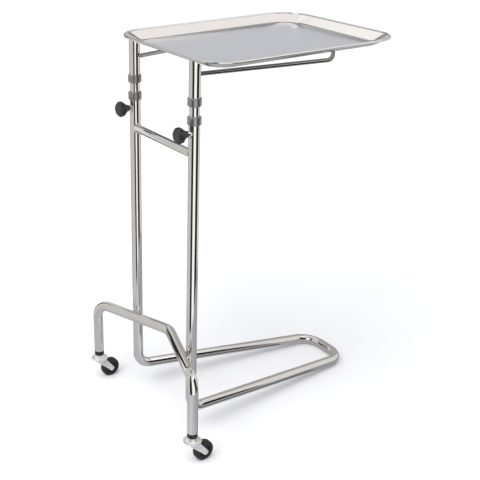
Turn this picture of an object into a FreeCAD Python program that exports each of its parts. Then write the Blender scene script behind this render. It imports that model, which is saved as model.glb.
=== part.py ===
import FreeCAD, Part
import math
import os
import Sketcher

# Double-post instrument stand: a tray on two telescoping posts over one bent floor tube,
# with a caster yoke behind the posts.
# Axes: +X runs from the posts to the front of the tray, +Y is the far side, +Z is up.
# The origin lies on the floor, under the middle of the outline.
# All sizes are millimetres; "setback" is how far the posts stand behind the origin.

DIMENSIONS = {
    # posts and frame tubing
    "setback": 238.85,
    "post_half": 123.0,
    "tube_od": 25.4,
    "tube_bore": 23.0,
    "inner_od": 22.2,
    "inner_bore": 19.2,
    "inner_low": 330.0,
    "bend_radius": 38.0,
    "lower_top": 790.0,
    # floor loop: height of the axis under the posts, and the virtual front corners
    "loop_rear_height": 73.5,
    "loop_front": 550.0,
    "loop_front_half": 68.0,
    "loop_front_radius": 55.0,
    # caster yoke
    "yoke_height": 228.0,
    "yoke_apex": 17.0,
    "yoke_apex_radius": 40.0,
    "caster_back": 62.8,
    "caster_half": 223.0,
    "leg_end": 86.0,
    # crossbar between the posts
    "crossbar_od": 19.0,
    "crossbar_bore": 16.6,
    "crossbar_height": 722.4,
    # collars
    "collar_od": 31.0,
    "collar_length": 19.2,
    "collar_edge": 2.2,
    "collar_spigot": 8.0,
    "collar_fit": 0.05,
    "upper_collar_base": 831.0,
    "plug_length": 30.0,
    "plug_flange": 8.0,
    "inner_overlap": 30.0,
    # tray
    "tray_center": 256.5,
    "tray_length": 540.0,
    "tray_width": 413.0,
    "tray_under": 915.3,
    "tray_sheet": 1.0,
    "tray_run": 38.5,
    "tray_slope": 27.0,
    "tray_blend": 20.0,
    "tray_corner": 38.0,
    "tray_bead": 5.0,
    # support rods and the flared, mitred tops of the upper tubes
    "rod_od": 9.5,
    "rod_height": 895.0,
    "rod_front": 348.0,
    "rod_front_half": 161.0,
    "rod_rear": 6.0,
    "rod_rear_half": 107.5,
    "rod_bend": 12.0,
    "support_gap": 0.3,
    "flare_start": 902.0,
    "flare_length": 34.0,
    "flare_growth": 6.0,
    "mitre_gap": 2.4,
    # clamp
    "clamp_height": 772.0,
    "boss_od": 13.0,
    "boss_end": 18.5,
    "stud_od": 8.0,
    "stud_fit": 0.05,
    "stud_tip": 11.4,
    "stud_grip": 4.0,
    "knob_start": 19.0,
    "knob_neck": 12.0,
    "knob_neck_od": 15.0,
    "knob_head": 16.5,
    "knob_od": 36.0,
    "knob_scallop": 11.0,
    "knob_lobes": 7,
    # casters
    "ring_length": 13.5,
    "ring_od": 25.0,
    "socket_depth": 30.0,
    "stem_od": 11.0,
    "plate_od": 44.4,
    "plate_drop": 11.0,
    "fork_gap": 1.6,
    "fork_plate": 2.4,
    "fork_side": 2.0,
    "fork_inside": 21.0,
    "wheel_od": 50.0,
    "wheel_width": 18.0,
    "tyre_depth": 6.0,
    "trail": 31.0,
    "axle_od": 8.0,
    "axle_head_od": 10.8,
    "axle_head": 1.6,
    "kingpin_od": 7.0,
    "kingpin_fit": 0.05,
    "ball_od": 3.6,
    "ball_circle": 26.0,
    "ball_count": 14,
}

doc = FreeCAD.newDocument("instrument_stand")
sheet = doc.addObject("Spreadsheet::Sheet", "Dim")
for row, (alias, value) in enumerate(DIMENSIONS.items(), start=1):
    sheet.set(f"A{row}", alias)
    sheet.set(f"B{row}", str(value))
    sheet.setAlias(f"B{row}", alias)
doc.recompute()

Vector = FreeCAD.Vector
SIDES = (("near", -1), ("far", 1))
sub_parts = []


def measure(expression):
    """The number that an expression over the sheet's cells gives."""
    return float(sheet.evalExpression(expression))


def keep(item, label):
    item.Label = label
    sub_parts.append(item)
    return item


def place(item, x="0", y="0", z="0", turn=None):
    """Bind a sub-part's position; x counts forward from the posts."""
    if turn is not None:
        item.Placement = FreeCAD.Placement(Vector(), turn)
    item.setExpression("Placement.Base.x", f"({x}) - Dim.setback")
    item.setExpression("Placement.Base.y", y)
    item.setExpression("Placement.Base.z", z)


# ---------------------------------------------------------------- sketch helpers

def origin_feature(body, role):
    """One of the body's own origin planes or axes."""
    return [item for item in body.Origin.OriginFeatures if item.Role == role][0]


def new_sketch(body, role, shift=("0", "0", "0")):
    """A sketch on one of the body's origin planes, shifted in the sketch's own axes."""
    sketch = body.newObject("Sketcher::SketchObject", "Sketch")
    sketch.AttachmentSupport = [(origin_feature(body, role), "")]
    sketch.MapMode = "FlatFace"
    for axis, expression in zip("xyz", shift):
        sketch.setExpression(f"AttachmentOffset.Base.{axis}", expression)
    return sketch


def bind(sketch, constraint, expression):
    index = sketch.addConstraint(constraint)
    sketch.setExpression(f"Constraints[{index}]", expression)


def fix_point(sketch, geometry, point, x, y):
    """Hold one point of a sketch at (x, y), both given as expressions."""
    for kind, expression in (("DistanceX", x), ("DistanceY", y)):
        bind(sketch, Sketcher.Constraint(kind, geometry, point, measure(expression)), expression)


def draw_outline(sketch, corners):
    """A closed straight-sided outline with every corner bound to expressions."""
    points = [Vector(measure(x), measure(y), 0) for x, y in corners]
    first = sketch.GeometryCount
    count = len(points)
    for index, point in enumerate(points):
        sketch.addGeometry(Part.LineSegment(point, points[(index + 1) % count]))
    for index in range(count):
        following = first + (index + 1) % count
        sketch.addConstraint(Sketcher.Constraint("Coincident", first + index, 2, following, 1))
    for index, (x, y) in enumerate(corners):
        fix_point(sketch, first + index, 1, x, y)


def draw_circle(sketch, x, y, diameter):
    center = Vector(measure(x), measure(y), 0)
    radius = measure(diameter) / 2
    index = sketch.addGeometry(Part.Circle(center, Vector(0, 0, 1), radius))
    fix_point(sketch, index, 3, x, y)
    bind(sketch, Sketcher.Constraint("Radius", index, radius), f"({diameter}) / 2")


# ---------------------------------------------------------------- feature helpers

def new_body(label):
    return keep(doc.addObject("PartDesign::Body", "Body"), label)


def add_turned(body, corners):
    """Turn an outline in the XZ plane a full circle about the body's Z axis."""
    sketch = new_sketch(body, "XZ_Plane")
    draw_outline(sketch, corners)
    feature = body.newObject("PartDesign::Revolution", "Turned")
    feature.Profile = sketch
    feature.ReferenceAxis = (sketch, ["V_Axis"])
    feature.Angle = 360
    doc.recompute()
    return feature


def add_pad(body, sketch, length, both_ways=False):
    feature = body.newObject("PartDesign::Pad", "Pad")
    feature.Profile = sketch
    feature.Midplane = both_ways
    feature.setExpression("Length", length)
    doc.recompute()
    return feature


def add_pocket(body, sketch, length, both_ways=False, reverse=False):
    volume = body.Shape.Volume
    feature = body.newObject("PartDesign::Pocket", "Pocket")
    feature.Profile = sketch
    feature.Midplane = both_ways
    feature.Reversed = reverse
    feature.setExpression("Length", length)
    doc.recompute()
    if not feature.Shape.Volume < volume - 0.01:
        raise RuntimeError(f"{body.Label}: the pocket removes nothing")
    return feature


def add_polar(body, feature, count):
    pattern = body.newObject("PartDesign::PolarPattern", "Polar")
    pattern.Originals = [feature]
    pattern.Axis = (origin_feature(body, "Z_Axis"), [""])
    pattern.Angle = 360
    pattern.Occurrences = count
    body.Tip = pattern
    doc.recompute()
    return pattern


def add_fillet(body, radius, wanted):
    """Round the edges of the body for which wanted(edge) is true."""
    base = body.Tip
    names = [f"Edge{number}" for number, edge in enumerate(base.Shape.Edges, start=1) if wanted(edge)]
    if not names:
        raise RuntimeError(f"{body.Label}: no edge to round")
    feature = body.newObject("PartDesign::Fillet", "Fillet")
    feature.Base = (base, names)
    feature.Radius = radius
    doc.recompute()
    return feature


def ring_edge(radius, height):
    """True for a full circle of this radius about Z at this height."""
    def wanted(edge):
        curve = edge.Curve
        if not isinstance(curve, Part.Circle):
            return False
        return abs(curve.Radius - radius) < 0.01 and abs(curve.Center.z - height) < 0.01
    return wanted


# ---------------------------------------------------------------- bent tubing

def bent_path(corners, radii):
    """Straight runs through the corners, joined by tangent arcs."""
    edges = []
    start = corners[0]
    for before, corner, after, radius in zip(corners, corners[1:], corners[2:], radii):
        toward_start = (before - corner).normalize()
        toward_end = (after - corner).normalize()
        half_angle = toward_start.getAngle(toward_end) / 2
        setback = radius / math.tan(half_angle)
        arc_start = corner + toward_start * setback
        arc_end = corner + toward_end * setback
        bisector = (toward_start + toward_end).normalize()
        middle = corner + bisector * (radius / math.sin(half_angle) - radius)
        edges.append(Part.LineSegment(start, arc_start).toShape())
        edges.append(Part.Arc(arc_start, middle, arc_end).toShape())
        start = arc_end
    edges.append(Part.LineSegment(start, corners[-1]).toShape())
    return Part.Wire(edges)


def swept_round(path, diameter):
    first = path.Edges[0]
    origin = first.valueAt(first.FirstParameter)
    direction = first.tangentAt(first.FirstParameter)
    circle = Part.Circle(origin, direction, diameter / 2)
    shape = path.makePipe(Part.Face(Part.Wire(circle.toShape())))
    return shape if shape.Volume > 0 else shape.reversed()


def pierced_tube(path, outside, bore, holes=()):
    """A tube along a path, open at both ends, with round side holes."""
    shape = swept_round(path, outside).cut(swept_round(path, bore))
    for hole in holes:
        shape = shape.cut(hole)
    return shape


def post_cylinder(side, diameter, low, high):
    base = Vector(0, side * measure("Dim.post_half"), low)
    return Part.makeCylinder(diameter / 2, high - low, base)


def keep_shape(label, shape, y="0"):
    """Keep a shape that was built forward of the posts; its Placement moves it to the origin."""
    item = doc.addObject("Part::Feature", "Bent")
    item.Shape = shape.Solids[0] if len(shape.Solids) == 1 else shape
    place(item, y=y)
    return keep(item, label)


# ---------------------------------------------------------------- frame

def make_floor_tube():
    """Both lower posts and the floor loop, bent from one tube."""
    half = measure("Dim.post_half")
    top = measure("Dim.lower_top")
    rear = measure("Dim.loop_rear_height")
    front = measure("Dim.loop_front")
    front_half = measure("Dim.loop_front_half")
    front_height = measure("Dim.tube_od / 2")
    corners = [
        Vector(0, -half, top),
        Vector(0, -half, rear),
        Vector(front, -front_half, front_height),
        Vector(front, front_half, front_height),
        Vector(0, half, rear),
        Vector(0, half, top),
    ]
    bend = measure("Dim.bend_radius")
    corner = measure("Dim.loop_front_radius")
    path = bent_path(corners, [bend, corner, corner, bend])
    hole_od = measure("Dim.stud_od + 2 * Dim.stud_fit")
    height = measure("Dim.clamp_height")
    holes = []
    for _, side in SIDES:
        mouth = Vector(0, side * half, height)
        holes.append(Part.makeCylinder(hole_od / 2, measure("Dim.tube_od"), mouth, Vector(-1, 0, 0)))
    shape = pierced_tube(path, measure("Dim.tube_od"), measure("Dim.tube_bore"), holes)
    keep_shape("floor_tube", shape)


def make_caster_yoke():
    """One tube behind both posts: a shallow V in plan whose ends turn down to the casters."""
    back = -measure("Dim.caster_back")
    half = measure("Dim.caster_half")
    height = measure("Dim.yoke_height")
    end = measure("Dim.leg_end")
    corners = [
        Vector(back, -half, end),
        Vector(back, -half, height),
        Vector(measure("Dim.yoke_apex"), 0, height),
        Vector(back, half, height),
        Vector(back, half, end),
    ]
    bend = measure("Dim.bend_radius")
    path = bent_path(corners, [bend, measure("Dim.yoke_apex_radius"), bend])
    keep_shape("caster_yoke", pierced_tube(path, measure("Dim.tube_od"), measure("Dim.tube_bore")))


def bound_cylinder(name, diameter, length, x, y, z, turn):
    cylinder = doc.addObject("Part::Cylinder", name)
    cylinder.setExpression("Radius", f"({diameter}) / 2")
    cylinder.setExpression("Height", length)
    place(cylinder, x, y, z, turn)
    return cylinder


def cut_from(label, base, tools):
    for tool in tools:
        cut = doc.addObject("Part::Cut", "Cut")
        cut.Base = base
        cut.Tool = tool
        base = cut
    return keep(base, label)


ALONG_Y = FreeCAD.Rotation(Vector(0, 0, 1), Vector(0, 1, 0))
BACKWARD = FreeCAD.Rotation(Vector(0, 1, 0), -90)
UPRIGHT = FreeCAD.Rotation()


def make_crossbar():
    """A round tube whose ends are coped to fit against the posts."""
    bar, bore = [
        bound_cylinder("Bar", diameter, "2 * Dim.post_half", "0", "-Dim.post_half",
                       "Dim.crossbar_height", ALONG_Y)
        for diameter in ("Dim.crossbar_od", "Dim.crossbar_bore")
    ]
    tools = [bore]
    for _, side in SIDES:
        low = "Dim.crossbar_height - Dim.crossbar_od"
        tools.append(bound_cylinder("Cope", "Dim.tube_od", "2 * Dim.crossbar_od", "0",
                                    f"{side} * Dim.post_half", low, UPRIGHT))
    cut_from("crossbar", bar, tools)


def make_clamp_boss(name, side):
    """A threaded boss on the back of a lower post, coped to the tube."""
    y = f"{side} * Dim.post_half"
    boss = bound_cylinder("Boss", "Dim.boss_od", "Dim.boss_end", "0", y, "Dim.clamp_height", BACKWARD)
    post = bound_cylinder("Cope", "Dim.tube_od", "2 * Dim.boss_od", "0", y,
                          "Dim.clamp_height - Dim.boss_od", UPRIGHT)
    thread = bound_cylinder("Thread", "Dim.stud_od + 2 * Dim.stud_fit", "2 * Dim.boss_end", "0", y,
                            "Dim.clamp_height", BACKWARD)
    cut_from(f"{name}_clamp_boss", boss, [post, thread])


def make_collar(label, side, base, upward_spigot, bore):
    """A plastic collar with bevelled rims and a spigot inside the wider tube."""
    outer = "Dim.collar_od / 2"
    edge = "Dim.collar_edge"
    spigot = "Dim.tube_bore / 2"
    rim = f"{outer} - {edge}"
    corners = [
        (bore, "0"),
        (rim, "0"),
        (outer, edge),
        (outer, f"Dim.collar_length - {edge}"),
        (rim, "Dim.collar_length"),
        (spigot, "Dim.collar_length"),
        (spigot, "Dim.collar_length + Dim.collar_spigot"),
        (bore, "Dim.collar_length + Dim.collar_spigot"),
    ]
    body = new_body(label)
    add_turned(body, corners)
    flip = UPRIGHT if upward_spigot else FreeCAD.Rotation(Vector(1, 0, 0), 180)
    place(body, "0", f"{side} * Dim.post_half", base, flip)


# ---------------------------------------------------------------- sliding tray frame

def make_inner_tube(name, side):
    """The narrower tube that slides inside the lower post."""
    body = new_body(f"{name}_inner_tube")
    sketch = new_sketch(body, "XY_Plane")
    draw_circle(sketch, "0", "0", "Dim.inner_od")
    draw_circle(sketch, "0", "0", "Dim.inner_bore")
    top = "Dim.upper_collar_base + Dim.collar_length + Dim.inner_overlap"
    add_pad(body, sketch, f"{top} - Dim.inner_low")
    place(body, "0", f"{side} * Dim.post_half", "Dim.inner_low")


def make_guide_plug(name, side):
    """The plastic plug that guides the foot of the inner tube in the lower post."""
    body = new_body(f"{name}_guide_plug")
    wide = "Dim.tube_bore / 2 - Dim.collar_fit"
    narrow = "Dim.inner_bore / 2"
    add_turned(body, [
        ("0", "0"),
        (f"{wide} - 1", "0"),
        (wide, "1"),
        (wide, "Dim.plug_flange"),
        (narrow, "Dim.plug_flange"),
        (narrow, "Dim.plug_length"),
        ("0", "Dim.plug_length"),
    ])
    place(body, "0", f"{side} * Dim.post_half", "Dim.inner_low - Dim.plug_flange")


def flare_section(height, growth):
    """A wire round the tube at this height, whose front has moved forward by growth."""
    radius = measure("Dim.tube_od / 2")
    center = Vector(growth / 2, 0, height)
    front = center + Vector(radius + growth / 2, 0, 0)
    return Part.Wire(Part.Ellipse(front, center + Vector(0, radius, 0), center).toShape())


def tray_wall_side():
    """Everything above the mitre: a plane that runs parallel to the tray's rear wall, below it."""
    slope = math.radians(measure("Dim.tray_slope"))
    blend = measure("Dim.tray_blend")
    wall_foot = measure("Dim.tray_center - Dim.tray_length / 2 + Dim.tray_run + Dim.tray_bead / 2")
    start = Vector(wall_foot - blend * math.sin(slope), 0, measure("Dim.tray_under"))
    start.z += blend * (1 - math.cos(slope))
    along = Vector(-math.cos(slope), 0, math.sin(slope))
    start -= Vector(math.sin(slope), 0, math.cos(slope)) * measure("Dim.mitre_gap")
    reach = measure("2 * Dim.tube_od")
    low, high = start - along * reach, start + along * reach
    rise = Vector(0, 0, reach)
    face = Part.Face(Part.makePolygon([low, high, high + rise, low + rise, low]))
    face.translate(Vector(0, -reach / 2, 0))
    return face.extrude(Vector(0, reach, 0))


def make_upper_tube(name, side):
    """The top length of a post: it flares forward to a closed mitre on which the tray's rim rests."""
    base = measure("Dim.upper_collar_base + Dim.collar_length")
    start = measure("Dim.flare_start")
    straight = Part.makeCylinder(measure("Dim.tube_od / 2"), start - base, Vector(0, 0, base))
    steps = 4
    sections = []
    for step in range(steps + 1):
        share = step / steps
        height = start + share * measure("Dim.flare_length")
        sections.append(flare_section(height, share ** 2 * measure("Dim.flare_growth")))
    flare = Part.makeLoft(sections, True, False)
    bore = Part.makeCylinder(measure("Dim.tube_bore / 2"), start - base, Vector(0, 0, base))
    shape = straight.fuse(flare).cut(tray_wall_side()).cut(bore).removeSplitter()
    keep_shape(f"{name}_upper_tube", shape, f"{side} * Dim.post_half")


def make_support_rod(name, side):
    """A rod from the upper tube, spreading forward, then turned up under the tray floor."""
    height = measure("Dim.rod_height")
    front = measure("Dim.rod_front")
    front_half = side * measure("Dim.rod_front_half")
    corners = [
        Vector(measure("Dim.rod_rear"), side * measure("Dim.rod_rear_half"), height),
        Vector(front, front_half, height),
        Vector(front, front_half, measure("Dim.tray_under - Dim.support_gap")),
    ]
    path = bent_path(corners, [measure("Dim.rod_bend")])
    reach = measure("Dim.rod_od")
    post = post_cylinder(side, measure("Dim.tube_od"), height - reach, height + reach)
    keep_shape(f"{name}_support_rod", swept_round(path, measure("Dim.rod_od")).cut(post))


# ---------------------------------------------------------------- tray

def draw_rounded_rectangle(sketch, half_length, half_width, corner):
    """Four sides and four tangent corner arcs; the front side is split at its middle."""
    length = measure(half_length)
    width = measure(half_width)
    radius = measure(corner)
    inner_x = length - radius
    inner_y = width - radius
    quarter = math.pi / 2

    def line(x1, y1, x2, y2):
        return Part.LineSegment(Vector(x1, y1, 0), Vector(x2, y2, 0))

    def arc(x, y, start):
        circle = Part.Circle(Vector(x, y, 0), Vector(0, 0, 1), radius)
        return Part.ArcOfCircle(circle, start, start + quarter)

    pieces = [
        line(length, 0, length, inner_y),
        arc(inner_x, inner_y, 0),
        line(inner_x, width, -inner_x, width),
        arc(-inner_x, inner_y, quarter),
        line(-length, inner_y, -length, -inner_y),
        arc(-inner_x, -inner_y, 2 * quarter),
        line(-inner_x, -width, inner_x, -width),
        arc(inner_x, -inner_y, 3 * quarter),
        line(length, -inner_y, length, 0),
    ]
    count = len(pieces)
    for piece in pieces:
        sketch.addGeometry(piece)
    for index in range(count):
        following = (index + 1) % count
        kind = "Coincident" if following == 0 else "Tangent"
        sketch.addConstraint(Sketcher.Constraint(kind, index, 2, following, 1))
    fix_point(sketch, 0, 1, half_length, "0")
    for index in (1, 3, 5, 7):
        bind(sketch, Sketcher.Constraint("Radius", index, radius), corner)
    for index in (0, 4, 8):
        sketch.addConstraint(Sketcher.Constraint("Vertical", index))
    for index in (2, 6):
        sketch.addConstraint(Sketcher.Constraint("Horizontal", index))
    bind(sketch, Sketcher.Constraint("DistanceY", 2, 1, width), half_width)
    bind(sketch, Sketcher.Constraint("DistanceY", 6, 1, -width), f"-({half_width})")
    bind(sketch, Sketcher.Constraint("DistanceX", 4, 1, -length), f"-({half_length})")


def draw_tray_wall(sketch):
    """Section of the wall: it leaves the floor on a blend arc and climbs at the wall slope."""
    slope = math.radians(measure("Dim.tray_slope"))
    outer = measure("Dim.tray_blend")
    sheet_thickness = measure("Dim.tray_sheet")
    inner = outer - sheet_thickness
    run = measure("Dim.tray_run")
    center = Vector(0, outer, 0)
    up = Vector(0, 0, 1)
    down = -math.pi / 2
    leaving = Vector(math.sin(slope), -math.cos(slope), 0)
    rising = Vector(math.cos(slope), math.sin(slope), 0)
    foot = center + leaving * outer
    tip = foot + rising * ((run - foot.x) / math.cos(slope))
    sketch.addGeometry(Part.ArcOfCircle(Part.Circle(center, up, outer), down, down + slope))
    sketch.addGeometry(Part.LineSegment(foot, tip))
    sketch.addGeometry(Part.LineSegment(tip, tip - leaving * sheet_thickness))
    sketch.addGeometry(Part.LineSegment(tip - leaving * sheet_thickness, center + leaving * inner))
    sketch.addGeometry(Part.ArcOfCircle(Part.Circle(center, up, inner), down, down + slope))
    sketch.addGeometry(Part.LineSegment(Vector(0, sheet_thickness, 0), Vector(0, 0, 0)))
    joints = (
        ("Tangent", 0, 2, 1, 1),
        ("Coincident", 1, 2, 2, 1),
        ("Coincident", 2, 2, 3, 1),
        ("Tangent", 3, 2, 4, 2),
        ("Coincident", 4, 1, 5, 1),
        ("Coincident", 5, 2, 0, 1),
        ("Coincident", 0, 3, 4, 3),
    )
    for joint in joints:
        sketch.addConstraint(Sketcher.Constraint(*joint))
    sketch.addConstraint(Sketcher.Constraint("Perpendicular", 1, 2))
    sketch.addConstraint(Sketcher.Constraint("Vertical", 5))
    fix_point(sketch, 0, 3, "0", "Dim.tray_blend")
    fix_point(sketch, 5, 2, "0", "0")
    bind(sketch, Sketcher.Constraint("Radius", 4, inner), "Dim.tray_blend - Dim.tray_sheet")
    bind(sketch, Sketcher.Constraint("DistanceX", 1, 2, run), "Dim.tray_run")
    bind(sketch, Sketcher.Constraint("Angle", 1, slope), "Dim.tray_slope * 1 deg")


def add_pipe(body, profile, spine):
    feature = body.newObject("PartDesign::AdditivePipe", "Pipe")
    feature.Profile = profile
    feature.Spine = spine
    doc.recompute()
    return feature


def make_tray():
    """A pressed sheet tray: flat floor, sloped walls, rolled bead round the rim."""
    body = new_body("tray")
    edge = "(Dim.tray_run + Dim.tray_bead / 2)"
    half_length = f"Dim.tray_length / 2 - {edge}"
    half_width = f"Dim.tray_width / 2 - {edge}"
    floor = new_sketch(body, "XY_Plane")
    draw_rounded_rectangle(floor, half_length, half_width, "Dim.tray_corner")
    add_pad(body, floor, "Dim.tray_sheet")
    spine = new_sketch(body, "XY_Plane")
    draw_rounded_rectangle(spine, half_length, half_width, "Dim.tray_corner")
    wall = new_sketch(body, "XZ_Plane", (half_length, "0", "0"))
    draw_tray_wall(wall)
    add_pipe(body, wall, spine)
    bead = new_sketch(body, "XZ_Plane", (half_length, "0", "0"))
    blend_rise = "Dim.tray_blend * (1 - cos(Dim.tray_slope * 1 deg))"
    blend_run = "Dim.tray_blend * sin(Dim.tray_slope * 1 deg)"
    rise = f"{blend_rise} + (Dim.tray_run - {blend_run}) * tan(Dim.tray_slope * 1 deg)"
    draw_circle(bead, "Dim.tray_run", f"{rise} + Dim.tray_sheet / 2", "Dim.tray_bead")
    add_pipe(body, bead, spine)
    place(body, "Dim.tray_center", "0", "Dim.tray_under")


# ---------------------------------------------------------------- clamps

def make_clamp_stud(name, side):
    """The threaded stud that presses on the inner tube."""
    body = new_body(f"{name}_clamp_stud")
    radius = "Dim.stud_od / 2"
    tip = "Dim.stud_tip"
    end = "Dim.knob_start + Dim.knob_neck + Dim.stud_grip"
    add_turned(body, [
        ("0", tip),
        (f"{radius} - 1", tip),
        (radius, f"{tip} + 1"),
        (radius, end),
        ("0", end),
    ])
    place(body, "0", f"{side} * Dim.post_half", "Dim.clamp_height", BACKWARD)


def make_clamp_knob(name, side):
    """A lobed hand knob with a tapered neck, screwed on the stud."""
    body = new_body(f"{name}_clamp_knob")
    neck = "Dim.knob_neck_od / 2"
    head = "Dim.knob_od / 2"
    stud = "Dim.stud_od / 2"
    start = "Dim.knob_start"
    shoulder = f"{start} + Dim.knob_neck"
    end = f"{shoulder} + Dim.knob_head"
    stud_end = f"{shoulder} + Dim.stud_grip"
    add_turned(body, [
        (stud, start),
        (neck, start),
        (f"{neck} + 1", f"{start} + 4"),
        (f"{head} - 5", f"{shoulder} - 1"),
        (head, f"{shoulder} + 4"),
        (head, f"{end} - 5"),
        (f"{head} - 4", f"{end} - 1"),
        (f"{head} - 8", end),
        ("0", end),
        ("0", stud_end),
        (stud, stud_end),
    ])
    scallop = new_sketch(body, "XY_Plane", ("0", "0", f"{start} + 5"))
    draw_circle(scallop, f"{head} + 2.4", "0", "Dim.knob_scallop")
    pocket = add_pocket(body, scallop, "Dim.knob_neck + Dim.knob_head", reverse=True)
    add_polar(body, pocket, int(measure("Dim.knob_lobes")))
    place(body, "0", f"{side} * Dim.post_half", "Dim.clamp_height", BACKWARD)


# ---------------------------------------------------------------- casters

def make_caster_socket(name, side):
    """The black insert that closes the end of a yoke leg and grips the caster stem."""
    body = new_body(f"{name}_caster_socket")
    ring = "Dim.ring_od / 2"
    plug = "Dim.tube_bore / 2"
    stem = "Dim.stem_od / 2"
    add_turned(body, [
        (stem, "-Dim.ring_length"),
        (f"{ring} - 1.5", "-Dim.ring_length"),
        (ring, "1.5 - Dim.ring_length"),
        (ring, "0"),
        (plug, "0"),
        (plug, "Dim.socket_depth - 1"),
        (f"{plug} - 1", "Dim.socket_depth"),
        (stem, "Dim.socket_depth"),
    ])
    place(body, "-Dim.caster_back", f"{side} * Dim.caster_half", "Dim.leg_end")


def make_caster_plate(name, side):
    """The domed upper raceway plate."""
    body = new_body(f"{name}_caster_plate")
    rim = "Dim.plate_od / 2"
    drop = "Dim.plate_drop"
    add_turned(body, [
        ("Dim.stem_od / 2", "0"),
        ("11", "0"),
        ("14.5", f"4 - {drop}"),
        ("17", f"2.2 - {drop}"),
        (f"{rim} - 0.8", f"2.2 - {drop}"),
        (rim, f"1.4 - {drop}"),
        (rim, f"-{drop}"),
        (f"{rim} - 1.8", f"-{drop}"),
        (f"{rim} - 1.8", f"0.6 - {drop}"),
        ("16.5", f"0.6 - {drop}"),
        ("13.5", f"2.6 - {drop}"),
        ("10", "-2"),
        ("Dim.stem_od / 2", "-2"),
    ])
    place(body, "-Dim.caster_back", f"{side} * Dim.caster_half", "Dim.leg_end - Dim.ring_length")


def make_caster_stem(name, side):
    """The stem: a pin gripped in the socket, with the riveted kingpin head under the fork."""
    body = new_body(f"{name}_caster_stem")
    pin = "Dim.stem_od / 2"
    king = "Dim.kingpin_od / 2"
    plate = "Dim.ring_length"
    under_fork = f"{plate} + Dim.plate_drop + Dim.fork_gap + Dim.fork_plate"
    add_turned(body, [
        ("0", "Dim.socket_depth - 2"),
        (f"{pin} - 1", "Dim.socket_depth - 2"),
        (pin, "Dim.socket_depth - 3"),
        (pin, f"-({plate} + 2)"),
        (king, f"-({plate} + 4)"),
        (king, f"-({under_fork} + 0.3)"),
        ("5.5", f"-({under_fork} + 0.3)"),
        ("4.5", f"-({under_fork} + 2)"),
        ("0", f"-({under_fork} + 2)"),
    ])
    place(body, "-Dim.caster_back", f"{side} * Dim.caster_half", "Dim.leg_end")


FORK_TOP = "(Dim.leg_end - Dim.ring_length - Dim.plate_drop - Dim.fork_gap)"


def make_caster_balls(name, side):
    """The ring of bearing balls between the raceway plate and the fork."""
    radius = measure("Dim.ball_od / 2")
    circle = measure("Dim.ball_circle / 2")
    height = measure(f"{FORK_TOP} + 0.05") + radius
    hub = Vector(-measure("Dim.caster_back"), side * measure("Dim.caster_half"), height)
    count = int(measure("Dim.ball_count"))
    balls = []
    for index in range(count):
        angle = 2 * math.pi * index / count
        offset = Vector(circle * math.cos(angle), circle * math.sin(angle), 0)
        balls.append(Part.makeSphere(radius, hub + offset))
    keep_shape(f"{name}_caster_balls", Part.makeCompound(balls))


def make_caster_fork(name, side):
    """A pressed fork: a round crown and two tapered legs that trail forward to the axle."""
    body = new_body(f"{name}_caster_fork")
    axle_drop = f"({FORK_TOP} - Dim.wheel_od / 2)"
    width = "Dim.fork_inside + 2 * Dim.fork_side"
    crown = new_sketch(body, "XY_Plane", ("0", "0", "-Dim.fork_plate"))
    draw_circle(crown, "0", "0", "Dim.plate_od - 10")
    add_pad(body, crown, "Dim.fork_plate")
    legs = new_sketch(body, "XZ_Plane")
    draw_outline(legs, [
        ("-11", "-Dim.fork_plate / 2"),
        ("-11", "-6"),
        ("Dim.trail - 8.5", f"-{axle_drop} - 1"),
        ("Dim.trail - 5", f"-{axle_drop} - 6.2"),
        ("Dim.trail", f"-{axle_drop} - 8"),
        ("Dim.trail + 5", f"-{axle_drop} - 6.2"),
        ("Dim.trail + 7.6", f"-{axle_drop}"),
        ("16", "-6"),
        ("13", "-Dim.fork_plate / 2"),
    ])
    add_pad(body, legs, width, both_ways=True)
    slot = new_sketch(body, "XZ_Plane")
    draw_outline(slot, [
        ("-40", "-Dim.fork_plate"),
        ("-40", f"-{axle_drop} - 20"),
        ("Dim.trail + 20", f"-{axle_drop} - 20"),
        ("Dim.trail + 20", "-Dim.fork_plate"),
    ])
    add_pocket(body, slot, "Dim.fork_inside", both_ways=True)
    axle = new_sketch(body, "XZ_Plane")
    draw_circle(axle, "Dim.trail", f"-{axle_drop}", "Dim.axle_od")
    add_pocket(body, axle, f"2 * ({width})", both_ways=True)
    kingpin = new_sketch(body, "XY_Plane", ("0", "0", "-Dim.fork_plate"))
    draw_circle(kingpin, "0", "0", "Dim.kingpin_od + 2 * Dim.kingpin_fit")
    add_pocket(body, kingpin, "Dim.fork_plate + 1", reverse=True)
    place(body, "-Dim.caster_back", f"{side} * Dim.caster_half", FORK_TOP)


def make_caster_axle(name, side):
    """The axle: a tube rivet through the fork, with a domed head on each side."""
    body = new_body(f"{name}_caster_axle")
    radius = "Dim.axle_od / 2"
    half = "(Dim.fork_inside / 2 + Dim.fork_side)"
    head = "Dim.axle_head_od / 2"
    flat = f"{head} - 2"
    outside = f"({half} + Dim.axle_head)"
    edge = f"({half} + 0.6)"
    add_turned(body, [
        ("0", f"-{outside}"),
        (flat, f"-{outside}"),
        (head, f"-{edge}"),
        (head, f"-{half}"),
        (radius, f"-{half}"),
        (radius, half),
        (head, half),
        (head, edge),
        (flat, outside),
        ("0", outside),
    ])
    place(body, "Dim.trail - Dim.caster_back", f"{side} * Dim.caster_half", "Dim.wheel_od / 2", ALONG_Y)


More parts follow.
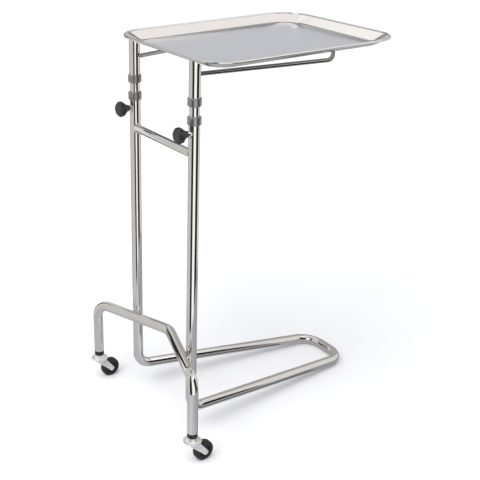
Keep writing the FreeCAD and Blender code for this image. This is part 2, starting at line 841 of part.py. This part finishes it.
def make_caster_hub(name, side):
    """The moulded wheel centre, dished on both faces."""
    body = new_body(f"{name}_wheel_hub")
    bore = "Dim.axle_od / 2 + 0.05"
    rim = "Dim.wheel_od / 2 - Dim.tyre_depth"
    boss = "(Dim.wheel_width / 2 + 1)"
    face = "(Dim.wheel_width / 2 - 0.8)"
    web = "4"
    add_turned(body, [
        (bore, f"-{boss}"),
        ("7.5", f"-{boss}"),
        ("8.2", f"-{web}"),
        ("14.5", f"-{web}"),
        ("15.6", f"-{face}"),
        (rim, f"-{face}"),
        (rim, face),
        ("15.6", face),
        ("14.5", web),
        ("8.2", web),
        ("7.5", boss),
        (bore, boss),
    ])
    place(body, "Dim.trail - Dim.caster_back", f"{side} * Dim.caster_half", "Dim.wheel_od / 2", ALONG_Y)


def make_caster_tyre(name, side):
    """The tread, with rounded shoulders."""
    body = new_body(f"{name}_wheel_tyre")
    inner = "Dim.wheel_od / 2 - Dim.tyre_depth"
    half = "Dim.wheel_width / 2"
    add_turned(body, [
        (inner, f"-{half}"),
        ("Dim.wheel_od / 2", f"-{half}"),
        ("Dim.wheel_od / 2", half),
        (inner, half),
    ])
    tread = measure("Dim.wheel_od / 2")
    shoulder = measure("Dim.wheel_width / 4")
    for height in (measure(f"-{half}"), measure(half)):
        add_fillet(body, shoulder, ring_edge(tread, height))
    place(body, "Dim.trail - Dim.caster_back", f"{side} * Dim.caster_half", "Dim.wheel_od / 2", ALONG_Y)


# ---------------------------------------------------------------- assembly

make_floor_tube()
make_caster_yoke()
make_crossbar()
make_tray()
sliding_bore = "Dim.inner_od / 2 + Dim.collar_fit"
fixed_bore = "Dim.inner_od / 2"
for side_name, side_sign in SIDES:
    lower_collar_top = "Dim.lower_top + Dim.collar_length"
    make_collar(f"{side_name}_lower_collar", side_sign, lower_collar_top, False, sliding_bore)
    make_clamp_boss(side_name, side_sign)
    make_clamp_stud(side_name, side_sign)
    make_clamp_knob(side_name, side_sign)
    make_inner_tube(side_name, side_sign)
    make_guide_plug(side_name, side_sign)
    make_collar(f"{side_name}_upper_collar", side_sign, "Dim.upper_collar_base", True, fixed_bore)
    make_upper_tube(side_name, side_sign)
    make_support_rod(side_name, side_sign)
    make_caster_socket(side_name, side_sign)
    make_caster_stem(side_name, side_sign)
    make_caster_plate(side_name, side_sign)
    make_caster_balls(side_name, side_sign)
    make_caster_fork(side_name, side_sign)
    make_caster_axle(side_name, side_sign)
    make_caster_hub(side_name, side_sign)
    make_caster_tyre(side_name, side_sign)

doc.recompute()
for item in doc.Objects:
    if "Invalid" in item.State or "Error" in item.State:
        raise RuntimeError(f"{item.Label}: {item.State}")
os.makedirs("parts", exist_ok=True)
for item in sub_parts:
    if item.Shape.isNull() or not item.Shape.isValid():
        raise RuntimeError(f"{item.Label}: the shape isn't sound")
    item.Shape.exportStep(f"parts/{item.Label}.step")
    box = item.Shape.BoundBox
    print(f"{item.Label}: {item.Shape.Volume:.0f} mm3, {len(item.Shape.Solids)} solid(s), "
          f"x {box.XMin:.1f}..{box.XMax:.1f}, y {box.YMin:.1f}..{box.YMax:.1f}, "
          f"z {box.ZMin:.1f}..{box.ZMax:.1f}")
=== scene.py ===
"""Looks of the double-post instrument stand.

Finishes, weld fillets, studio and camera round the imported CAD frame.
"""
import math

import bmesh
import bpy
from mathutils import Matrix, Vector


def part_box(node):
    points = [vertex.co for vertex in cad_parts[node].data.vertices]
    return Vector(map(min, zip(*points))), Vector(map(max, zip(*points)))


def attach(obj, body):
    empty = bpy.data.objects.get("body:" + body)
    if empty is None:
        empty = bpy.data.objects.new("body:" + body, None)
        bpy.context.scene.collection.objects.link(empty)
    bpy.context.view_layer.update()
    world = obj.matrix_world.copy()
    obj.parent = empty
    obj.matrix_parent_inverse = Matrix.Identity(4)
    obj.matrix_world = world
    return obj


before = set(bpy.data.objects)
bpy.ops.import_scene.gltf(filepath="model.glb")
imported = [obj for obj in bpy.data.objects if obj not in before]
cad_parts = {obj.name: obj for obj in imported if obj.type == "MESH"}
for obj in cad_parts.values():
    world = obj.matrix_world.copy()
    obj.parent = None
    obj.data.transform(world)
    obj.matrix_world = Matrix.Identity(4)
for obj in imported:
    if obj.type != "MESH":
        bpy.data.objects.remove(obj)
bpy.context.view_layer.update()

SIDES = {"near": -1, "far": 1}      # the sign of Y on each side of the stand
UP = Vector((0, 0, 1))


# ---------------------------------------------------------------------------- finishes

# The Mix node's colour sockets, by place, because its number and vector sockets have the same names.
MIX_FIRST = 6
MIX_SECOND = 7
MIX_RESULT = 2


class Finish:
    """A procedural material: one Principled shader, and short calls that add nodes in front of it."""

    def __init__(self, name, **sockets):
        self.material = bpy.data.materials.new(name)
        self.material.use_nodes = True
        self.nodes = self.material.node_tree.nodes
        self.links = self.material.node_tree.links
        self.shader = self.nodes["Principled BSDF"]
        for socket, value in sockets.items():
            self.shader.inputs[socket.replace("_", " ")].default_value = value

    def node(self, kind, **inputs):
        made = self.nodes.new(kind)
        for socket, value in inputs.items():
            self.feed(made.inputs[socket.replace("_", " ")], value)
        return made

    def feed(self, socket, value):
        if isinstance(value, bpy.types.NodeSocket):
            self.links.new(value, socket)
        else:
            socket.default_value = value

    def place(self, stretch=(1, 1, 1), turn=(0, 0, 0)):
        """The object's own coordinates in metres, turned and then stretched."""
        where = self.node("ShaderNodeTexCoord").outputs["Object"]
        turned = self.node("ShaderNodeMapping", Vector=where, Rotation=turn).outputs["Vector"]
        return self.node("ShaderNodeMapping", Vector=turned, Scale=stretch).outputs["Vector"]

    def noise(self, scale, detail=3.0, stretch=(1, 1, 1), turn=(0, 0, 0), roughness=0.55):
        made = self.node("ShaderNodeTexNoise", Vector=self.place(stretch, turn), Scale=scale,
                         Detail=detail, Roughness=roughness)
        return made.outputs["Fac"]

    def cells(self, scale):
        return self.node("ShaderNodeTexVoronoi", Vector=self.place(), Scale=scale).outputs["Color"]

    def ramp(self, value, *stops):
        """value read through colour or grey stops given as (position, level or colour)."""
        made = self.node("ShaderNodeValToRGB", Fac=value)
        band = made.color_ramp.elements
        while len(band) < len(stops):
            band.new(0.5)
        for element, (position, level) in zip(band, stops):
            element.position = position
            element.color = (*level, 1) if isinstance(level, tuple) else (level, level, level, 1)
        return made.outputs["Color"]

    def span(self, value, low, high):
        """value from 0..1 spread over low..high."""
        made = self.node("ShaderNodeMapRange", Value=value)
        made.inputs["To Min"].default_value = low
        made.inputs["To Max"].default_value = high
        return made.outputs["Result"]

    def sum(self, first, second):
        made = self.nodes.new("ShaderNodeMath")
        made.operation = "ADD"
        self.feed(made.inputs[0], first)
        self.feed(made.inputs[1], second)
        return made.outputs[0]

    def mix(self, factor, first, second):
        """The colour first where factor is 0, second where it is 1."""
        made = self.nodes.new("ShaderNodeMix")
        made.data_type = "RGBA"
        self.feed(made.inputs["Factor"], factor)
        for socket, value in ((made.inputs[MIX_FIRST], first), (made.inputs[MIX_SECOND], second)):
            self.feed(socket, (*value, 1) if isinstance(value, tuple) else value)
        return made.outputs[MIX_RESULT]

    def scratches(self, turn, scale, width):
        """Sparse fine lines: the narrow middle band of a noise drawn out along one direction."""
        drawn = self.noise(scale, detail=1.0, stretch=(1, 0.03, 1), turn=(0, 0, turn))
        half = width / 2
        return self.ramp(drawn, (0.5 - half, 0.0), (0.5, 1.0), (0.5 + half, 0.0))

    def finish(self, color, roughness=None, height=None, bump=None, depth=None):
        """Joins what is given to the shader; a height comes with the bump's strength and depth in metres."""
        self.feed(self.shader.inputs["Base Color"], color)
        if roughness is not None:
            self.feed(self.shader.inputs["Roughness"], roughness)
        if height is not None:
            made = self.node("ShaderNodeBump", Strength=bump, Distance=depth, Height=height)
            self.links.new(made.outputs["Normal"], self.shader.inputs["Normal"])
        return self.material


def scaled(color, factor):
    return tuple(factor * channel for channel in color)


def chrome(name, light, dull):
    """Bright plating over polished tube: a faint cloudy tint, wiped smears and fine upright lines."""
    look = Finish(name, Metallic=1.0)
    cloud = look.noise(scale=14, detail=4)
    smear = look.ramp(look.noise(scale=22, detail=5, stretch=(1, 1, 0.4)), (0.52, 0.0), (0.72, 1.0))
    lines = look.noise(scale=900, detail=2, stretch=(1, 1, 0.05))
    tint = look.mix(cloud, scaled(light, 0.93), light)
    rough = look.sum(look.span(look.noise(scale=120), dull, dull * 1.7), look.span(smear, 0.0, 0.07))
    return look.finish(tint, rough, lines, bump=0.05, depth=0.0001)


def sheet_steel(name):
    """Satin stainless sheet: rolling grain along X, faint clouds and small handling scratches."""
    look = Finish(name, Metallic=1.0)
    grain = look.noise(scale=1400, detail=3, stretch=(0.012, 1, 1))
    cloud = look.noise(scale=7, detail=4)
    marks = look.sum(look.scratches(turn=0.5, scale=90, width=0.02),
                     look.scratches(turn=-0.9, scale=70, width=0.016))
    tint = look.mix(cloud, (0.70, 0.70, 0.70), (0.76, 0.76, 0.76))
    tint = look.mix(look.span(grain, 0.0, 0.35), tint, (0.80, 0.80, 0.80))
    rough = look.sum(look.span(grain, 0.12, 0.20), look.span(cloud, -0.02, 0.03))
    height = look.sum(grain, look.span(marks, 0.0, -0.6))
    return look.finish(tint, rough, height, bump=0.08, depth=0.0002)


def zinc(name, light):
    """Zinc-plated pressing: small crystals, dull patches and a faintly pitted skin."""
    look = Finish(name, Metallic=0.75)
    crystal = look.ramp(look.cells(scale=420), (0.2, 0.0), (0.8, 1.0))
    patch = look.noise(scale=45, detail=5)
    tint = look.mix(look.span(crystal, 0.0, 0.5), light, scaled(light, 0.82))
    tint = look.mix(look.ramp(patch, (0.55, 0.0), (0.75, 0.6)), tint, (0.40, 0.38, 0.35))
    rough = look.sum(look.span(patch, 0.26, 0.48), look.span(crystal, -0.03, 0.04))
    return look.finish(tint, rough, look.noise(scale=700, detail=4), bump=0.12, depth=0.0002)


def moulding(name, dark, light, rough, grit, bump, **sockets):
    """Moulded or cast skin: cloudy colour, fine grit in the surface and rubbed high spots."""
    look = Finish(name, **sockets)
    cloud = look.noise(scale=60, detail=5)
    fine = look.noise(scale=grit, detail=4, roughness=0.7)
    rubbed = look.ramp(look.noise(scale=180, detail=3), (0.6, 0.0), (0.8, 1.0))
    tint = look.mix(cloud, dark, light)
    tint = look.mix(look.span(rubbed, 0.0, 0.3), tint, scaled(light, 1.8))
    gloss = look.sum(look.span(cloud, rough - 0.05, rough + 0.07), look.span(rubbed, 0.0, -0.06))
    return look.finish(tint, gloss, fine, bump=bump, depth=0.0003)


FINISHES = {
    "chrome_tube": chrome("chrome_tube_finish", (0.86, 0.85, 0.84), dull=0.055),
    "chrome_rod": chrome("chrome_rod_finish", (0.46, 0.46, 0.455), dull=0.08),
    "stainless_sheet": sheet_steel("stainless_sheet_finish"),
    "grey_collar": moulding("grey_collar_finish", (0.30, 0.29, 0.28), (0.38, 0.37, 0.36),
                            rough=0.30, grit=900, bump=0.12, Metallic=0.9),
    "black_insert": moulding("black_insert_finish", (0.008, 0.008, 0.008), (0.018, 0.018, 0.018),
                             rough=0.45, grit=1100, bump=0.2),
    "zinc_steel": zinc("zinc_steel_finish", (0.90, 0.90, 0.87)),
    "bearing_steel": chrome("bearing_steel_finish", (0.70, 0.70, 0.70), dull=0.12),
    "black_knob": moulding("black_knob_finish", (0.014, 0.014, 0.015), (0.028, 0.028, 0.029),
                           rough=0.38, grit=800, bump=0.25),
    "black_wheel": moulding("black_wheel_finish", (0.012, 0.012, 0.012), (0.022, 0.022, 0.022),
                            rough=0.48, grit=900, bump=0.2),
    "black_tyre": moulding("black_tyre_finish", (0.010, 0.010, 0.010), (0.020, 0.019, 0.018),
                           rough=0.58, grit=1300, bump=0.35),
}

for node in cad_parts.values():
    for holder in node.material_slots:
        holder.material = FINISHES[holder.material.name.split(".")[0]]


# ---------------------------------------------------------------------------- weld fillets

POST_RADIUS = 0.0127        # half of the lower post's 1 in
CROSSBAR_WELD = 0.0026      # how far a fillet reaches along the branch, and out from it
BOSS_WELD = 0.0018
FILLET_STEPS = 96           # round the branch
FILLET_CURVE = 8            # across the hollow face
FILLET_ROOT = 0.001         # how deep the fillet goes into both tubes
RIPPLES = 30
RIPPLE_DEPTH = 0.04         # share of the fillet's height


def weld_fillet(name, body, post, branch, radius, size):
    """A hollow-faced ring of weld, where a level branch of the given radius leaves a post.

    post is a point on the post's axis, and branch is one on the branch's axis, off the post.
    """
    away = Vector((branch.x - post.x, branch.y - post.y, 0)).normalized()
    across = UP.cross(away)
    foot = Vector((post.x, post.y, branch.z))
    bends = [math.pi / 2 * i / FILLET_CURVE for i in range(FILLET_CURVE + 1)]
    section = [(size * (1 - math.sin(bend)), size * (1 - math.cos(bend))) for bend in bends]
    section += [(-FILLET_ROOT, size), (-FILLET_ROOT, -FILLET_ROOT), (size, -FILLET_ROOT)]
    weld = bmesh.new()
    rings = []
    for i in range(FILLET_STEPS):
        turn = 2 * math.pi * i / FILLET_STEPS
        ripple = 1 + RIPPLE_DEPTH * math.sin(RIPPLES * turn)
        ring = []
        for rise, run in section:
            reach = radius + rise * ripple
            shift = reach * math.cos(turn)
            depth = math.sqrt(POST_RADIUS ** 2 - shift ** 2) + run
            spot = foot + away * depth + across * shift + UP * reach * math.sin(turn)
            ring.append(weld.verts.new(spot))
        rings.append(ring)
    for i, ring in enumerate(rings):
        after = rings[(i + 1) % FILLET_STEPS]
        for j in range(len(ring)):
            k = (j + 1) % len(ring)
            weld.faces.new((ring[j], ring[k], after[k], after[j]))
    bmesh.ops.recalc_face_normals(weld, faces=weld.faces)
    mesh = bpy.data.meshes.new(name)
    weld.to_mesh(mesh)
    weld.free()
    mesh.shade_smooth()
    mesh.materials.append(FINISHES["chrome_tube"])
    piece = bpy.data.objects.new(name, mesh)
    bpy.context.scene.collection.objects.link(piece)
    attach(piece, body)


def middle_of(node):
    low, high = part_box(node)
    return (Vector(low) + Vector(high)) / 2


def half_height(node):
    low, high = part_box(node)
    return (high[2] - low[2]) / 2


for side in SIDES:
    post_axis = middle_of(f"{side}_inner_tube")
    for node, name, size in (("crossbar", f"{side}_crossbar_weld", CROSSBAR_WELD),
                             (f"{side}_clamp_boss", f"{side}_boss_weld", BOSS_WELD)):
        weld_fillet(name, "frame", post_axis, middle_of(node), half_height(node), size)


# ---------------------------------------------------------------------------- studio

# The camera's direction comes first, because the studio is laid out from it.
CAMERA_AZIMUTH = -32.65
CAMERA_ELEVATION = 23.67

SQUARE = ((-1, -1), (1, -1), (1, 1), (-1, 1))      # its corners, in order round it
FLOOR_HALF = 14.0

# Screens round the stand, which reflections alone show: from and to in degrees to the right of
# the camera's side, top, level, tint.
SCREENS = [
    (-180, -150, 0.98, 0.48, "light"),
    (-150, -127, 0.98, 0.80, "light"),
    (-127, -111, 0.98, 0.03, "dark"),
    (-111, -100, 0.98, 0.85, "light"),
    (-100, -43, 1.40, 0.64, "light"),
    (-43, -16, 1.40, 0.03, "dark"),
    (-16, 19, 1.40, 1.15, "light"),
    (19, 74, 0.98, 0.03, "dark"),
    (74, 130, 0.98, 0.80, "light"),
    (130, 180, 0.98, 0.42, "light"),
]
SCREEN_TINT = {"light": (1.0, 0.965, 0.93), "dark": (1.0, 0.9, 0.8)}
SCREEN_RADIUS = 0.80
SCREEN_STEP = 6             # degrees that one flat of a screen spans, about

# The mat just over the floor, seen in reflections instead of the floor: degrees to the right of
# the camera's side, level.
MAT_LEVELS = [
    (-180, 0.50),
    (-110, 0.55),
    (-50, 0.56),
    (-25, 0.72),
    (5, 0.45),
    (60, 0.42),
    (100, 0.36),
    (180, 0.50),
]
MAT_TINT = (0.97, 0.96, 1.0)
MAT_HEIGHT = 0.0006
MAT_SIDES = 72

# Painted shadow: dark strips on the mat, along the legs of the floor loop, standing for each leg's own
# shadow on the floor as reflections in the chrome see it. Each leg's axis runs from the first
# to the second of these (x, half of the loop's width).
LEG_ENDS = ((-0.189, 0.118), (0.211, 0.078))
# How far towards -Y from the leg's axis the painted shadow strip starts and stops, at its first and second
# end.
SHADOW_STRIP_REACH = ((0.053, 0.147), (0.020, 0.054))
# How brightly the painted shadow strips glow: dark, like the floor in the leg's shadow.
SHADOW_STRIP_LEVEL = 0.10

# Cards over the screens, for the tray and the level tubes: middle, width, height, level, tint.
CARDS = [
    ((0.95, 0.55, 2.35), 1.5, 1.4, 1.12, (1.0, 0.945, 0.91)),
    ((0.74, 1.24, 2.10), 0.90, 0.50, 1.25, (1.0, 0.97, 0.93)),
    ((0.88, 1.16, 1.70), 0.80, 0.20, 0.02, (1.0, 0.85, 0.80)),
    ((0.08, 1.22, 1.40), 0.75, 0.50, 0.03, (1.0, 0.90, 0.85)),
    ((0.66, -1.15, 1.78), 1.30, 0.90, 1.60, (1.0, 0.97, 0.93)),
]
CARD_AIM = (0.0, 0.0, 0.92)

WORLD_COLOR = (0.93, 0.94, 1.0, 1)
WORLD_STRENGTH = 0.69
SUN_HEADING = -30
SUN_LEAN = 0.45             # how far over the sun leans, per unit of height
SUN_SPREAD = 50
SUN_STRENGTH = 1.9
KEY_HEADING = -50
KEY_REACH = 2.2
KEY_HEIGHT = 2.2
KEY_AIM = Vector((0, 0, 0.5))
KEY_SIZE = 1.2
KEY_POWER = 20


def heading(degrees):
    """A level direction from the stand, so many degrees to the right of the camera's own side."""
    angle = math.radians(CAMERA_AZIMUTH + degrees)
    return Vector((math.sin(angle), -math.cos(angle), 0.0))


def emission(name, color, strength):
    material = bpy.data.materials.new(name)
    material.use_nodes = True
    nodes = material.node_tree.nodes
    nodes.clear()
    glow = nodes.new("ShaderNodeEmission")
    glow.inputs["Color"].default_value = (*color, 1)
    glow.inputs["Strength"].default_value = strength
    output = nodes.new("ShaderNodeOutputMaterial")
    material.node_tree.links.new(glow.outputs["Emission"], output.inputs["Surface"])
    return material


def mesh_object(name, corners, faces, material):
    mesh = bpy.data.meshes.new(name)
    mesh.from_pydata(corners, [], faces)
    mesh.materials.append(material)
    made = bpy.data.objects.new(name, mesh)
    bpy.context.scene.collection.objects.link(made)
    return made


def lay_floor():
    """A plain pale floor, which reflections don't show."""
    look = Finish("floor_finish", Roughness=0.9)
    look.finish(look.mix(look.noise(scale=0.6), (0.86, 0.86, 0.86), (0.88, 0.88, 0.88)))
    corners = [(x * FLOOR_HALF, y * FLOOR_HALF, 0) for x, y in SQUARE]
    floor = mesh_object("floor", corners, [(0, 1, 2, 3)], look.material)
    floor.visible_glossy = False


def glossy_only(card):
    """Stages a surface that shows in reflections only."""
    card.visible_camera = False
    card.visible_diffuse = False
    card.visible_shadow = False
    card.visible_transmission = False


def stand_screens():
    for index, (start, end, top, level, tint) in enumerate(SCREENS):
        steps = round((end - start) / SCREEN_STEP)
        corners = []
        for i in range(steps + 1):
            spot = heading(start + (end - start) * i / steps) * SCREEN_RADIUS
            corners += [spot, spot + top * UP]
        faces = [(2 * i, 2 * i + 2, 2 * i + 3, 2 * i + 1) for i in range(steps)]
        glow = emission(f"screen_{index}_glow", SCREEN_TINT[tint], level)
        glossy_only(mesh_object(f"screen_{index}", corners, faces, glow))


def lay_mat():
    """A disc whose level changes with the heading: its coordinates are turned to measure that."""
    look = Finish("mat_glow")
    turn = (0, 0, -math.radians(CAMERA_AZIMUTH - 90))
    angle = look.node("ShaderNodeTexGradient", Vector=look.place(turn=turn))
    angle.gradient_type = "RADIAL"
    stops = [((degrees + 180) / 360, level) for degrees, level in MAT_LEVELS]
    level = look.ramp(angle.outputs["Fac"], *stops)
    glow = look.node("ShaderNodeEmission", Color=(*MAT_TINT, 1), Strength=level)
    look.links.new(glow.outputs["Emission"], look.nodes["Material Output"].inputs["Surface"])
    rim = [heading(360 / MAT_SIDES * i) * SCREEN_RADIUS + MAT_HEIGHT * UP for i in range(MAT_SIDES)]
    glossy_only(mesh_object("mat", rim, [tuple(range(MAT_SIDES))], look.material))


# Painted shadow, seen only in reflections: a dark glowing strip beside each leg of the floor loop, where the
# leg's shadow falls on the floor.
def lay_shadow_strips():
    for side, sign in SIDES.items():
        corners = []
        for (x, half), reach in zip(LEG_ENDS, SHADOW_STRIP_REACH):
            corners += [(x, sign * half - away, 2 * MAT_HEIGHT) for away in reach]
        glow = emission(f"{side}_shadow_strip_glow", MAT_TINT, SHADOW_STRIP_LEVEL)
        glossy_only(mesh_object(f"{side}_strip", corners, [(0, 1, 3, 2)], glow))


def hang_cards():
    """Cards that each face CARD_AIM."""
    for index, (middle, width, height, level, tint) in enumerate(CARDS):
        out = (Vector(middle) - Vector(CARD_AIM)).normalized()
        side = UP.cross(out).normalized() * width / 2
        rise = out.cross(side).normalized() * height / 2
        corners = [Vector(middle) + x * side + y * rise for x, y in SQUARE]
        glow = emission(f"card_{index}_glow", tint, level)
        glossy_only(mesh_object(f"card_{index}", corners, [(0, 1, 2, 3)], glow))


def aimed(name, data, back):
    """A lamp or camera that looks against the direction back."""
    made = bpy.data.objects.new(name, data)
    made.rotation_euler = (-back).to_track_quat("-Z", "Y").to_euler()
    bpy.context.scene.collection.objects.link(made)
    return made


def light_studio():
    world = bpy.data.worlds.new("studio")
    world.use_nodes = True
    background = world.node_tree.nodes["Background"]
    background.inputs["Color"].default_value = WORLD_COLOR
    background.inputs["Strength"].default_value = WORLD_STRENGTH
    bpy.context.scene.world = world
    sun = bpy.data.lights.new("overhead", "SUN")
    sun.energy = SUN_STRENGTH
    sun.angle = math.radians(SUN_SPREAD)
    aimed("overhead", sun, heading(SUN_HEADING) * SUN_LEAN + UP).visible_glossy = False
    key = bpy.data.lights.new("key", "AREA")
    key.shape = "SQUARE"
    key.size = KEY_SIZE
    key.energy = KEY_POWER
    place = heading(KEY_HEADING) * KEY_REACH + KEY_HEIGHT * UP
    aimed("key", key, place - KEY_AIM).location = place


# ---------------------------------------------------------------------------- camera

# The sensor and the lens are in millimetres, and the shift is a share of the picture's width.
CAMERA_PLACE = (-1.3227, -1.6985, 1.3591)
CAMERA_SENSOR = 36.0
CAMERA_LENS = 69.495
CAMERA_SHIFT = 0.15625


def set_camera():
    data = bpy.data.cameras.new("camera")
    data.sensor_width = CAMERA_SENSOR
    data.lens = CAMERA_LENS
    data.shift_x = CAMERA_SHIFT
    elevation = math.radians(CAMERA_ELEVATION)
    camera = aimed("camera", data, heading(0) * math.cos(elevation) + UP * math.sin(elevation))
    camera.location = CAMERA_PLACE
    bpy.context.scene.camera = camera


lay_floor()
stand_screens()
lay_mat()
lay_shadow_strips()
hang_cards()
light_studio()
set_camera()
bpy.context.scene.view_settings.view_transform = "Standard"
